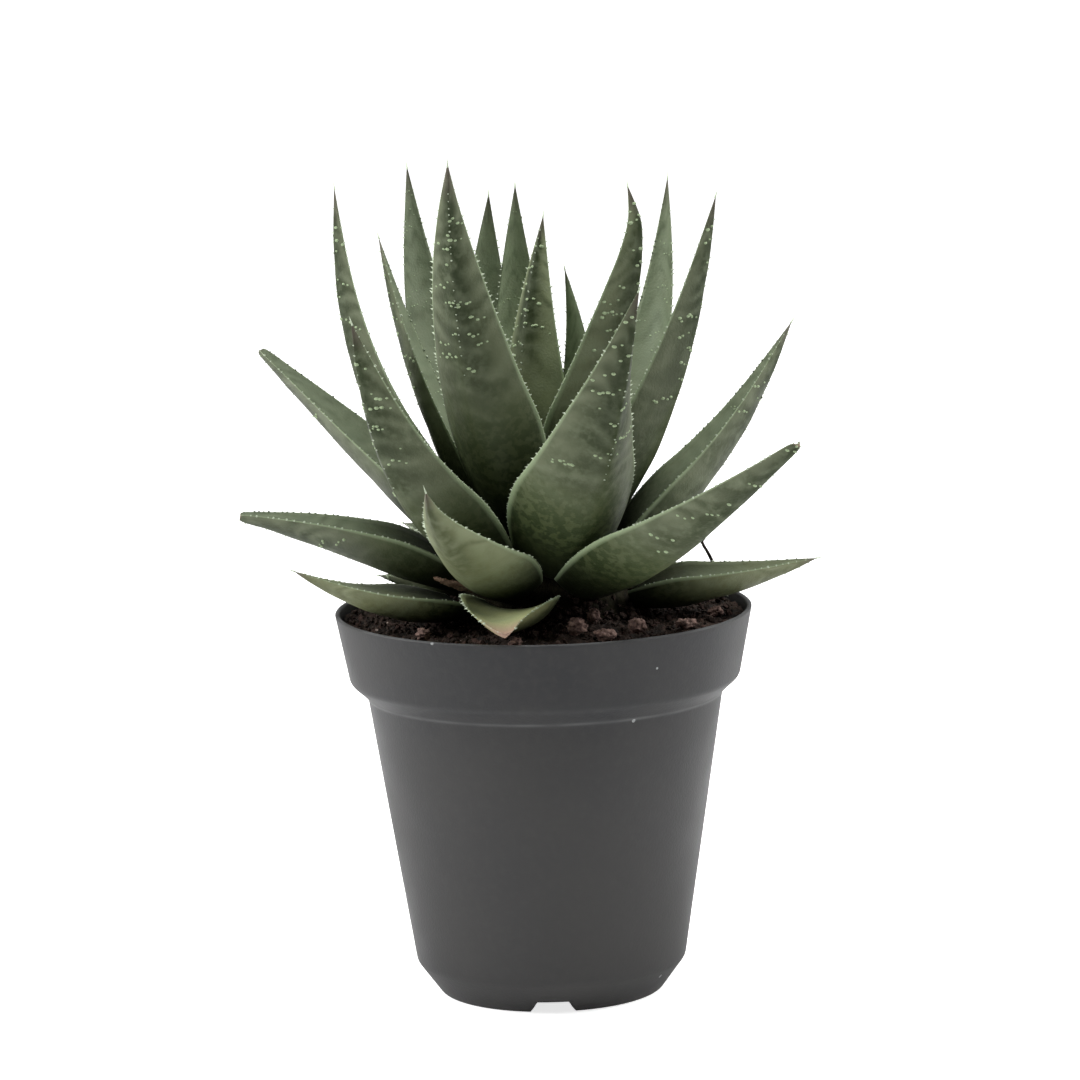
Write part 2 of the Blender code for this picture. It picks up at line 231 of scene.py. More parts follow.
def dust_group():
    """Settled dust: more of it on surfaces that face up, broken up into specks."""
    group = bpy.data.node_groups.new("dust", "ShaderNodeTree")
    for name, value in (("Speck Scale", 300.0), ("Amount", 0.5)):
        socket = group.interface.new_socket(name, in_out="INPUT", socket_type="NodeSocketFloat")
        socket.default_value = value
    group.interface.new_socket("Dust", in_out="OUTPUT", socket_type="NodeSocketFloat")
    entry = group.nodes.new("NodeGroupInput")
    leave = group.nodes.new("NodeGroupOutput")
    place = group.nodes.new("ShaderNodeTexCoord")
    split = group.nodes.new("ShaderNodeSeparateXYZ")
    wire(group, place.outputs["Normal"], split.inputs[0])
    facing = group.nodes.new("ShaderNodeMapRange")
    facing.inputs["From Min"].default_value = -0.2
    facing.inputs["From Max"].default_value = 0.9
    facing.inputs["To Min"].default_value = 0.25
    wire(group, split.outputs["Z"], facing.inputs["Value"])
    cloud = group.nodes.new("ShaderNodeTexNoise")
    cloud.inputs["Detail"].default_value = 6.0
    wire(group, place.outputs["Object"], cloud.inputs["Vector"])
    wire(group, entry.outputs["Speck Scale"], cloud.inputs["Scale"])
    spread = group.nodes.new("ShaderNodeMapRange")
    spread.inputs["From Min"].default_value = 0.48
    spread.inputs["From Max"].default_value = 0.7
    wire(group, cloud.outputs["Fac"], spread.inputs["Value"])
    settled = multiply(group, facing.outputs["Result"], spread.outputs["Result"])
    wire(group, multiply(group, settled, entry.outputs["Amount"]), leave.inputs["Dust"])
    return group


def speck_group():
    """Single small specks, one in some of the cells that a surface is divided into."""
    group = bpy.data.node_groups.new("specks", "ShaderNodeTree")
    for name, value in (("Scale", 100.0), ("Size", 0.1), ("Rarity", 0.9)):
        socket = group.interface.new_socket(name, in_out="INPUT", socket_type="NodeSocketFloat")
        socket.default_value = value
    group.interface.new_socket("Specks", in_out="OUTPUT", socket_type="NodeSocketFloat")
    entry = group.nodes.new("NodeGroupInput")
    leave = group.nodes.new("NodeGroupOutput")
    place = group.nodes.new("ShaderNodeTexCoord")
    cells = group.nodes.new("ShaderNodeTexVoronoi")
    wire(group, place.outputs["Object"], cells.inputs["Vector"])
    wire(group, entry.outputs["Scale"], cells.inputs["Scale"])
    near = group.nodes.new("ShaderNodeMath")
    near.operation = "LESS_THAN"
    wire(group, cells.outputs["Distance"], near.inputs[0])
    wire(group, entry.outputs["Size"], near.inputs[1])
    lot = group.nodes.new("ShaderNodeSeparateColor")
    wire(group, cells.outputs["Color"], lot.inputs["Color"])
    drawn = group.nodes.new("ShaderNodeMath")
    drawn.operation = "GREATER_THAN"
    wire(group, lot.outputs["Red"], drawn.inputs[0])
    wire(group, entry.outputs["Rarity"], drawn.inputs[1])
    wire(group, multiply(group, near.outputs[0], drawn.outputs[0]), leave.inputs["Specks"])
    return group


MOTTLE = mottle_group()
DUST = dust_group()
SPECKS = speck_group()


def place_group(tree, group, **values):
    node = tree.nodes.new("ShaderNodeGroup")
    node.node_tree = group
    for name, value in values.items():
        node.inputs[name.replace("_", " ").title()].default_value = value
    return node


def blend_colours(tree, share, low, high):
    """A colour between two, each a colour or a node's output, by a share that varies over the surface."""
    mix = tree.nodes.new("ShaderNodeMix")
    mix.data_type = "RGBA"
    wire(tree, share, mix.inputs["Factor"])
    for socket, colour in ((mix.inputs["A"], low), (mix.inputs["B"], high)):
        if isinstance(colour, tuple):
            socket.default_value = colour
        else:
            wire(tree, colour, socket)
    return mix.outputs["Result"]


def spread_range(tree, value, low, high, to_low=0.0, to_high=1.0):
    """Stretches a value's range from low to high onto another range, and clamps it there."""
    node = tree.nodes.new("ShaderNodeMapRange")
    node.inputs["From Min"].default_value = low
    node.inputs["From Max"].default_value = high
    node.inputs["To Min"].default_value = to_low
    node.inputs["To Max"].default_value = to_high
    wire(tree, value, node.inputs["Value"])
    return node.outputs["Result"]


def roughen(tree, shader, height, distance, strength):
    bump = tree.nodes.new("ShaderNodeBump")
    bump.inputs["Distance"].default_value = distance
    bump.inputs["Strength"].default_value = strength
    wire(tree, height, bump.inputs["Height"])
    wire(tree, bump.outputs["Normal"], shader.inputs["Normal"])


def new_material(name):
    material = bpy.data.materials.new(name)
    material.use_nodes = True
    return material, material.node_tree, material.node_tree.nodes["Principled BSDF"]


def set_piece(name, vertices, faces, material, nodes, masks=None):
    """Makes a smooth-shaded piece that stands for CAD nodes, with named masks for its material."""
    mesh = bpy.data.meshes.new(name)
    mesh.from_pydata(vertices, [], faces)
    mesh.update()
    mesh.shade_smooth()
    for mask, values in (masks or {}).items():
        layer = mesh.attributes.new(mask, "FLOAT", "POINT")
        layer.data.foreach_set("value", values)
    mesh.materials.append(material)
    piece = bpy.data.objects.new(name, mesh)
    bpy.context.scene.collection.objects.link(piece)
    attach(piece, "root")
    for node in nodes:
        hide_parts(node)
    return piece


def read_mask(tree, name):
    node = tree.nodes.new("ShaderNodeAttribute")
    node.attribute_name = name
    return node.outputs["Fac"]


def rounded(points, radius, steps=5):
    """An outline of (radius, height) points with each inner corner turned into a short arc."""
    outline = [Vector(points[0])]
    for before, corner, after in zip(points, points[1:], points[2:]):
        corner = Vector(corner)
        back = Vector(before) - corner
        ahead = Vector(after) - corner
        cut = min(radius, back.length * 0.45, ahead.length * 0.45)
        start = corner + back.normalized() * cut
        end = corner + ahead.normalized() * cut
        for step in range(steps + 1):
            share = step / steps
            outline.append(start.lerp(corner, share).lerp(corner.lerp(end, share), share))
    return outline + [Vector(points[-1])]


def refined(outline, longest):
    """The same outline with its long stretches divided."""
    fine = [outline[0]]
    for start, end in zip(outline, outline[1:]):
        parts = max(1, math.ceil((end - start).length / longest))
        fine += [start.lerp(end, part / parts) for part in range(1, parts + 1)]
    return fine


def notch_lift(angle, foot):
    """How far a notch lifts the pot's foot at that angle."""
    spacing = math.tau / POT_NOTCHES
    offset = (angle + math.pi / 2 + spacing / 2) % spacing - spacing / 2
    slope = (POT_NOTCH_FOOT - POT_NOTCH_HEAD) / 2 / POT_FLOOR_LIFT
    aside = abs(offset) * foot
    return max(0.0, min(POT_FLOOR_LIFT, (POT_NOTCH_FOOT / 2 - aside) / slope))


def pot_material():
    material, tree, shader = new_material("recycled_grey_plastic")
    mottle = place_group(tree, MOTTLE, patch_scale=26.0, grain_scale=1400.0)
    dust = place_group(tree, DUST, speck_scale=420.0, amount=0.5)
    streaks = place_group(tree, MOTTLE, patch_scale=9.0, grain_scale=220.0)
    grit = place_group(tree, SPECKS, scale=160.0, size=0.1, rarity=0.93)
    cloudy = spread_range(tree, mottle.outputs["Patches"], 0.0, 1.0, 0.0, 0.45)
    colour = blend_colours(tree, cloudy, POT_GREY, POT_DUST_AND_BOUNCE_GREY)
    handled = spread_range(tree, streaks.outputs["Patches"], 0.2, 1.0, 0.0, 0.3)
    colour = blend_colours(tree, handled, colour, POT_DUST_AND_BOUNCE_GREY)
    # Painted light: the wall below the band turns paler towards the foot, for the light the table throws
    # back up.
    colour = blend_colours(tree, read_mask(tree, "painted_bounce_light"), colour, POT_DUST_AND_BOUNCE_GREY)
    colour = blend_colours(tree, read_mask(tree, "worn_line"), colour, POT_SPECK)
    colour = blend_colours(tree, dust.outputs["Dust"], colour, POT_DUST_AND_BOUNCE_GREY)
    colour = blend_colours(tree, multiply(tree, grit.outputs["Specks"], 0.7), colour, POT_SPECK)
    wire(tree, colour, shader.inputs["Base Color"])
    rough = spread_range(tree, mottle.outputs["Patches"], 0.0, 1.0, 0.46, 0.6)
    wire(tree, rough, shader.inputs["Roughness"])
    shader.inputs["Specular IOR Level"].default_value = 0.25
    roughen(tree, shader, mottle.outputs["Grain"], 0.00006, 0.35)
    return material


def make_pot():
    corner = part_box("pot")[1]
    rim, top = corner.x, corner.z
    band_foot = rim - POT_BAND_TAPER
    wall_top = band_foot - POT_SHOULDER_STEP
    wall_foot = wall_top - POT_WALL_TAPER
    foot = wall_foot - POT_BEVEL_STEP
    shoulder = top - POT_BAND
    wall_head = shoulder - POT_SHOULDER
    outside = [
        (foot, 0.0),
        (wall_foot, POT_BEVEL),
        (wall_top, wall_head),
        (band_foot, shoulder),
        (rim, top - POT_LIP),
        (rim - POT_WALL / 2, top),
    ]
    inside = [
        (rim - POT_WALL, top - POT_LIP),
        (band_foot - POT_WALL, shoulder),
        (wall_top - POT_WALL, wall_head),
        (wall_foot - POT_WALL, POT_BEVEL),
        (foot - POT_WALL, POT_FLOOR_LIFT + POT_WALL),
        (POT_AXIS, POT_FLOOR_LIFT + POT_WALL),
    ]
    underside = [
        (POT_AXIS, 0.0),
        (POT_HUB, 0.0),
        (POT_HUB + POT_HUB_SLOPE, POT_FLOOR_LIFT),
        (foot - POT_FOOT_RING - POT_RING_SLOPE, POT_FLOOR_LIFT),
        (foot - POT_FOOT_RING, 0.0),
    ]
    outline = refined(rounded(underside + outside + inside, POT_CORNER), POT_MESH)
    vertices = []
    worn = []
    painted_bounce_light = []
    for radius, height in outline:
        on_seam = radius > wall_top - POT_WALL / 2
        seam = math.exp(-(((height - wall_head) / POT_SEAM_WIDTH) ** 2)) if on_seam else 0.0
        rim_wear = max(0.0, 1 - abs(height - top) / POT_RIM_WEAR)
        # Painted light: how far down from the band a point lies, for the bounce from the table.
        bounce_share = max(0.0, min(1.0, (shoulder - height) / POT_PAINTED_BOUNCE_FADE))
        for turn in range(POT_TURNS):
            angle = math.tau * turn / POT_TURNS
            place = Vector((math.cos(angle) * 1.5, math.sin(angle) * 1.5, height * 18))
            warp = noise.noise(place) * POT_WARP
            lifted = height
            if height < POT_FLOOR_LIFT and radius > foot - POT_FOOT_RING - POT_RING_SLOPE / 2:
                lifted = max(height, notch_lift(angle, foot))
            out = radius + (warp + seam * POT_SEAM_LIFT if radius > POT_HUB * 2 else 0.0)
            vertices.append((out * math.cos(angle), out * math.sin(angle), lifted))
            patchy = 0.5 + 0.5 * noise.noise(Vector((angle * 6, height * 90, 3)))
            worn.append(min(1.0, (seam * 0.22 + rim_wear * 0.35) * patchy))
            painted_bounce_light.append(POT_PAINTED_BOUNCE * bounce_share)
    faces = []
    for ring in range(len(outline) - 1):
        for turn in range(POT_TURNS):
            following = (turn + 1) % POT_TURNS
            here, above = ring * POT_TURNS, (ring + 1) * POT_TURNS
            faces.append((here + turn, here + following, above + following, above + turn))
    masks = {"worn_line": worn, "painted_bounce_light": painted_bounce_light}
    piece = set_piece("pot_shell", vertices, faces, pot_material(), ["pot"], masks)
    piece.data.set_sharp_from_angle(angle=math.radians(40))


make_pot()


# ---------------------------------------------------------------- soil
# Moist peat mixed with coir and fine bark, firmed down to just under the rim. Its top is rough, with
# loose crumbs of peat and reddish bark lying on it. It is heaped a little against the plant.

SOIL_RINGS = 90
SOIL_TURNS = 300
SOIL_HOLE = 22.0 * MM
SOIL_BORDER = 1.5 * MM
SOIL_ROUGHNESS = 1.3 * MM
SOIL_CRUMBS = 1500
SOIL_CRUMB_SIZES = (0.7 * MM, 2.6 * MM)
HEAPED_CRUMBS = 900
HEAP_REACH = 6.0 * MM
HEAP_RISE = 8.0 * MM
CROWN_EDGE = 25.0 * MM
SOIL_DARK = (0.009, 0.006, 0.004, 1)
SOIL_BROWN = (0.045, 0.028, 0.02, 1)
BARK_RED = (0.05, 0.026, 0.02, 1)
BARK_PALE = (0.26, 0.17, 0.14, 1)
GRIT_PALE = (0.5, 0.4, 0.35, 1)


def surface_of(node):
    """A CAD node's surface, to lay finer pieces on."""
    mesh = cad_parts[node].data
    return BVHTree.FromPolygons([v.co for v in mesh.vertices], [p.vertices for p in mesh.polygons])


SOIL_SURFACE = surface_of("soil")
SOIL_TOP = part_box("soil")[1].z
DOWN = Vector((0, 0, -1))


def soil_height(x, y):
    hit = SOIL_SURFACE.ray_cast(Vector((x, y, SOIL_TOP + 0.05)), DOWN)[0]
    return hit.z if hit is not None else SOIL_TOP - SOIL_BORDER


def grain_form():
    """Points and faces of the plain faceted ball that every crumb is a dented copy of."""
    bm = bmesh.new()
    bmesh.ops.create_icosphere(bm, subdivisions=1, radius=0.5)
    points = [vert.co.copy() for vert in bm.verts]
    faces = [tuple(vert.index for vert in face.verts) for face in bm.faces]
    bm.free()
    return points, faces


def add_crumb(vertices, faces, form, place, size, stretch, draw):
    """Adds one angular crumb, the plain grain dented, stretched and turned, and counts its points."""
    angle = draw.uniform(0, math.tau)
    axis = Vector((draw.gauss(0, 1), draw.gauss(0, 1), 2)).normalized()
    turn = Matrix.Rotation(angle, 3, axis)
    first = len(vertices)
    for point in form[0]:
        dented = point * size * (1 + draw.uniform(-0.25, 0.25))
        vertices.append(place + turn @ Vector(a * b for a, b in zip(dented, stretch)))
    faces += [tuple(first + n for n in face) for face in form[1]]
    return len(form[0])


def soil_material(name, low, high, patch_scale):
    material, tree, shader = new_material(name)
    mottle = place_group(tree, MOTTLE, patch_scale=patch_scale, grain_scale=1800.0)
    colour = blend_colours(tree, mottle.outputs["Patches"], low, high)
    colour = blend_colours(tree, read_mask(tree, "reddish"), colour, BARK_RED)
    grit = place_group(tree, SPECKS, scale=420.0, size=0.32, rarity=0.96)
    colour = blend_colours(tree, multiply(tree, grit.outputs["Specks"], 0.6), colour, GRIT_PALE)
    wire(tree, colour, shader.inputs["Base Color"])
    wire(tree, spread_range(tree, mottle.outputs["Grain"], 0.0, 1.0, 0.75, 1.0), shader.inputs["Roughness"])
    shader.inputs["Specular IOR Level"].default_value = 0.25
    roughen(tree, shader, mottle.outputs["Grain"], 0.0004, 0.7)
    return material


def make_soil():
    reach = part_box("soil")[1].x
    vertices = []
    red = []
    for ring in range(SOIL_RINGS + 1):
        radius = SOIL_HOLE + (reach - SOIL_HOLE) * ring / SOIL_RINGS
        for turn in range(SOIL_TURNS):
            angle = math.tau * turn / SOIL_TURNS
            x, y = radius * math.cos(angle), radius * math.sin(angle)
            coarse = noise.fractal(Vector((x, y, 0)) * 260, 0.7, 2.2, 5)
            z = soil_height(x * 0.995, y * 0.995) + SOIL_ROUGHNESS * coarse
            vertices.append((x, y, z))
            red.append(max(0.0, min(0.7, noise.noise(Vector((x, y, 0.01)) * 420) * 2 - 0.5)))
    faces = []
    for ring in range(SOIL_RINGS):
        for turn in range(SOIL_TURNS):
            following = (turn + 1) % SOIL_TURNS
            here, above = ring * SOIL_TURNS, (ring + 1) * SOIL_TURNS
            faces.append((here + turn, above + turn, above + following, here + following))
    material = soil_material("peat", SOIL_DARK, SOIL_BROWN, 240.0)
    set_piece("soil_top", vertices, faces, material, ["soil"], {"reddish": red})


def make_crumbs():
    draw = random.Random(5)
    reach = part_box("soil")[1].x
    form = grain_form()
    vertices = []
    faces = []
    shades = []
    for n in range(SOIL_CRUMBS + HEAPED_CRUMBS):
        heaped = n >= SOIL_CRUMBS
        outer = CROWN_EDGE + HEAP_REACH if heaped else reach - SOIL_BORDER
        radius = math.sqrt(draw.uniform(CROWN_EDGE**2, outer**2))
        angle = draw.uniform(0, math.tau)
        x, y = radius * math.cos(angle), radius * math.sin(angle)
        size = draw.uniform(*SOIL_CRUMB_SIZES) * draw.uniform(0.5, 1.0)
        stretch = (draw.uniform(0.8, 1.6), 1.0, draw.uniform(0.5, 0.9))
        rise = HEAP_RISE * (1 - (radius - CROWN_EDGE) / HEAP_REACH) * draw.random() if heaped else 0.0
        place = Vector((x, y, soil_height(x, y) + size * 0.3 + rise))
        shade = draw.random() ** 3
        shades += [shade] * add_crumb(vertices, faces, form, place, size, stretch, draw)
    material = soil_material("peat_crumbs", SOIL_DARK, SOIL_BROWN, 500.0)
    piece = set_piece("soil_crumbs", vertices, faces, material, ["soil"], {"reddish": shades})
    piece.data.shade_flat()


make_soil()
make_crumbs()


# ---------------------------------------------------------------- crown
# The short woody stem that every leaf grows out of. It is ringed with the scars and dry fibres of
# leaves that have died, and it stands in deep shade with only a little of it in view. Its colours are
# painted near black: painted shade for that deep shade, over the stem's own dark brown.

# The stem's colours are near black: painted shade, over its own dark brown.
CROWN_SHADE_DARK = (0.005, 0.004, 0.002, 1)
CROWN_SHADE_GREEN = (0.02, 0.019, 0.009, 1)
CROWN_CUTS = 3
CROWN_SCARS = 0.5 * MM
CROWN_GRAIN = 3.0 * MM


def woody_material(name, low, high, patch_scale, grain_scale, sheen=0.3):
    material, tree, shader = new_material(name)
    mottle = place_group(tree, MOTTLE, patch_scale=patch_scale, grain_scale=grain_scale)
    dust = place_group(tree, DUST, speck_scale=900.0, amount=0.35)
    colour = blend_colours(tree, mottle.outputs["Patches"], low, high)
    wire(tree, blend_colours(tree, dust.outputs["Dust"], colour, SOIL_BROWN), shader.inputs["Base Color"])
    wire(tree, spread_range(tree, mottle.outputs["Grain"], 0.0, 1.0, 0.7, 0.95), shader.inputs["Roughness"])
    shader.inputs["Specular IOR Level"].default_value = sheen
    roughen(tree, shader, mottle.outputs["Grain"], 0.0003, 0.6)
    return material


def welded(node):
    """A CAD node's solid in one connected mesh, ready to be refined."""
    bm = bmesh.new()
    bm.from_mesh(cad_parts[node].data)
    bmesh.ops.remove_doubles(bm, verts=bm.verts, dist=0.002 * MM)
    return bm


def grained(node, name, cuts, depth, size, material, along=None):
    """A finer copy of a small CAD solid, its surface broken up to that depth by grain of that size."""
    bm = welded(node)
    bmesh.ops.triangulate(bm, faces=bm.faces)
    bmesh.ops.subdivide_edges(bm, edges=bm.edges, cuts=cuts, use_grid_fill=True, smooth=0.35)
    bm.normal_update()
    squeeze = Vector(along or (1, 1, 1))
    shifts = []
    for vert in bm.verts:
        place = vert.co * squeeze / size
        shifts.append(vert.normal * depth * (noise.fractal(place, 0.8, 2.1, 4) - 0.25))
    for vert, shift in zip(bm.verts, shifts):
        vert.co += shift
    vertices = [tuple(v.co) for v in bm.verts]
    faces = [tuple(v.index for v in f.verts) for f in bm.faces]
    bm.free()
    return set_piece(name, vertices, faces, material, [node])


# Painted shade: the stem is coloured near black for the deep shade under the leaves.
CROWN_MATERIAL = woody_material("crown_bark_painted_shade", CROWN_SHADE_DARK, CROWN_SHADE_GREEN, 300.0, 1500.0, sheen=0.08)
grained("crown", "crown_stem", CROWN_CUTS, CROWN_SCARS, CROWN_GRAIN, CROWN_MATERIAL, (1, 1, 4))


# ---------------------------------------------------------------- bark chips
# Broken pieces of composted pine bark, the coarsest part of the potting mix. They are layered, with
# reddish faces and paler broken edges, and lie loose on the soil.

CHIP_CUTS = 3
CHIP_LAYERS = 0.7 * MM
CHIP_GRAIN = 1.4 * MM
CHIP_MATERIAL = woody_material("pine_bark", BARK_RED, BARK_PALE, 620.0, 1600.0)
for chip in sorted(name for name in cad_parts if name.startswith("bark_chip")):
    name = chip + "_layered"
    grained(chip, name, CHIP_CUTS, CHIP_LAYERS, CHIP_GRAIN, CHIP_MATERIAL, (1, 1, 2.5))


# ---------------------------------------------------------------- root fibre
# One dead, wiry root that has worked out of the soil. It is dark and dry, held by the soil at its foot,
# and stands up on its own.

FIBRE_CUTS = 2
FIBRE_ROUGHNESS = 0.12 * MM
FIBRE_GRAIN = 0.9 * MM
FIBRE_MATERIAL = woody_material("dry_root", SOIL_DARK, SOIL_BROWN, 600.0, 2400.0)
grained(
    "root_fibre",
    "dry_root_fibre",
    FIBRE_CUTS,
    FIBRE_ROUGHNESS,
    FIBRE_GRAIN,
    FIBRE_MATERIAL,
)


# ---------------------------------------------------------------- live leaves
# Stiff, fleshy leaves, hollow above and keeled below, each growing out of the crown. Their skin is
# grey-green under a dull wax. Small white teeth line their edges, and pale warts lie in bands across
# their backs.

LEAF_STATIONS = 120
LEAF_RING = 10
UPPER_STEPS = 14
LOWER_STEPS = 22
TOOTH_SPACING = 1.7 * MM
TOOTH_HEIGHT = 0.85 * MM
TOOTH_RADIUS = 0.34 * MM
WART_RADIUS = 0.45 * MM
WART_HEIGHT = 0.32 * MM
WART_STRETCH = 1.5
WART_ROWS = 4.8 * MM
WART_SPACING = 1.25 * MM
UPPER_WARTS = 0.5
WARTS_FROM = 0.4
AWN_LENGTH = 3.0 * MM
AWN_RADIUS = 0.3 * MM
TEETH_FROM = 0.1
TEETH_TO = 0.965
KEEL_TEETH_FROM = 0.45
KEEL_TEETH_TO = 0.95
KEEL_FROM = 0.12
KEEL_GROWTH = 0.5
RIPPLE = 0.22 * MM
RIPPLE_LENGTH = 9.0 * MM
WAVER = 0.018
WAVER_LENGTH = 14.0 * MM
BACK_FULLNESS = 0.7
GROWTH_BAND = 7.5 * MM

UPPER_GREEN = (0.11, 0.138, 0.083, 1)
BACK_GREEN = (0.075, 0.086, 0.046, 1)
BACK_DARK = (0.017, 0.026, 0.006, 1)
# The pale grey-green of wax bloom, pale bands and dust, and also the painted sheen on the edges of the
# backs.
WAX_BLOOM_AND_SHEEN = (0.165, 0.19, 0.12, 1)
BASE_PALE = (0.085, 0.112, 0.036, 1)
BASE_FLECK = (0.016, 0.032, 0.006, 1)
DEEP_SHADE = (0.008, 0.012, 0.003, 1)
TIP_BROWN = (0.085, 0.065, 0.055, 1)
TOOTH_WHITE = (0.41, 0.47, 0.35, 1)
WART_PALE = (0.27, 0.34, 0.2, 1)
DEAD_END = (0.26, 0.17, 0.125, 1)
YELLOWED = (0.36, 0.37, 0.17, 1)

# How single leaves differ: tone is how light they are, partly the paler skin of young leaves and partly
# painted light that makes up for shade, raised most on the heart leaves that lie under the others;
# warts how thickly their backs are set with warts, yellow how far they have yellowed, base how mottled
# their foot is, dead how much of the tip has dried, and keel_teeth how full the row of teeth along the keel
# is.
LEAF_HABITS = {
    "leaf_rim_front": {"yellow": 0.6, "warts": 0.0, "keel_teeth": 0.0, "dead": 0.22},
    "leaf_rim_left": {"yellow": 0.2, "warts": 0.15, "keel_teeth": 0.0, "base": 0.9},
    "leaf_rim_right": {"yellow": 0.15, "warts": 0.25, "keel_teeth": 0.3},
    "leaf_curled_front": {"tone": 2.1, "yellow": 0.1, "warts": 0.0, "keel_teeth": 0.0, "base": 0.3},
    "leaf_low_left": {"warts": 0.2, "dead": 0.05},
    "leaf_low_right": {"warts": 0.5, "base": 0.9, "dead": 0.05},
    "leaf_mid_left": {"warts": 0.5, "dead": 0.04},
    "leaf_front_right": {"warts": 0.75, "base": 1.0},
    "leaf_tall_front": {"warts": 0.8, "base": 0.8},
    "leaf_tall_left": {"warts": 1.0},
    "leaf_tall_right": {"warts": 1.0},
    "leaf_right_hooked": {"tone": 1.8, "warts": 1.0},
    "leaf_back_narrow": {"tone": 2.1, "warts": 1.0},
    "leaf_back_tall": {"tone": 1.3, "warts": 1.0},
    "leaf_heart_back": {"tone": 2.1},
    "leaf_heart_right": {"tone": 1.7},
    "leaf_heart": {"tone": 3.0, "warts": 1.0},
    "leaf_slim_left": {"tone": 1.5, "warts": 1.0},
    "leaf_back_right": {"tone": 1.2},
}
USUAL_HABIT = {"tone": 1.0, "yellow": 0.0, "warts": 0.6, "keel_teeth": 0.8, "base": 0.5, "dead": 0.0}

# What a point of the skin says about itself to the material, each from 0 to 1 but for the wart mask,
# which is 0.5 on a wart and 1 on a tooth.
PLAIN_SKIN = {
    "leaf_share": 0.5,
    "leaf_edge": 0.5,
    "leaf_back": 1.0,
    "leaf_band": 0.0,
    "leaf_painted_shadow": 0.0,
    "leaf_wart": 0.0,
}


def leaf_layers(bm):
    """A leaf solid's tip and its rings of corners from tip to base."""
    for tip in bm.verts:
        if len(tip.link_edges) < LEAF_RING:
            continue
        layers, seen = [[tip]], {tip}
        while layers[-1]:
            nearby = [e.other_vert(v) for v in layers[-1] for e in v.link_edges]
            fresh = [v for v in dict.fromkeys(nearby) if v not in seen]
            seen.update(fresh)
            layers.append(fresh)
        if all(len(layer) == LEAF_RING for layer in layers[1:-1]):
            return tip, layers[1:-1]
    raise ValueError("this solid isn't a leaf of even rings")


def ordered(layer, toward):
    """A ring's corners in turn, following the edges of its side faces."""
    ring, near = set(layer), set(toward)
    turn = {
        v: [
            e.other_vert(v)
            for e in v.link_edges
            if e.other_vert(v) in ring and any(near & set(f.verts) for f in e.link_faces)
        ]
        for v in layer
    }
    path = [layer[0]]
    while len(path) < len(layer):
        path.append(next(v for v in turn[path[-1]] if v not in path))
    return [v.co.copy() for v in path]


def read_ring(ring, across_before):
    """Middle, across, half width, and the points of the hollow and the keel, of one ring."""
    count = len(ring)
    start = max(range(count), key=lambda n: (ring[n] - ring[(n + 4) % count]).length)
    left, right = ring[start], ring[(start + 4) % count]
    hollow, keel = ring[(start + 2) % count], ring[(start + 7) % count]
    if across_before is not None and (right - left).dot(across_before) < 0:
        left, right = right, left
    return (left + right) / 2, (right - left).normalized(), (right - left).length / 2, hollow, keel


def read_leaf(node):
    """Stations of a leaf from base to tip: middle, across, up, half width, sag and depth."""
    bm = welded(node)
    tip, layers = leaf_layers(bm)
    rings = []
    toward = [tip]
    for layer in layers:
        rings.append(ordered(layer, toward))
        toward = layer
    stations = []
    across_before = None
    for ring in reversed(rings):
        middle, across, half, hollow, keel = read_ring(ring, across_before)
        up = hollow - keel
        up = (up - across * up.dot(across)).normalized()
        stations.append([middle, across, up, half, (hollow - middle).dot(up), (hollow - keel).dot(up)])
        across_before = across
    end = tip.co.copy()
    bm.free()
    stations.append([end, stations[-1][1], stations[-1][2], 0.0, 0.0, 0.0])
    return stations


def through(before, start, end, after, share):
    """A smooth curve through start and end, for points and for single values."""
    square, cube = share * share, share * share * share
    return (
        start * (2 * cube - 3 * square + 1)
        + (end - before) * 0.5 * (cube - 2 * square + share)
        + end * (3 * square - 2 * cube)
        + (after - start) * 0.5 * (cube - square)
    )


def station_at(stations, share):
    """The leaf's measures at any share of the way from base to tip."""
    last = len(stations) - 1
    place = min(share * last, last - 1e-6)
    n = int(place)
    window = [stations[max(0, min(last, k))] for k in (n - 1, n, n + 1, n + 2)]
    middle, across, up, half, sag, deep = (through(*values, place - n) for values in zip(*window))
    return middle, across.normalized(), up.normalized(), max(half, 0.02 * MM), sag, max(deep, 0.03 * MM)


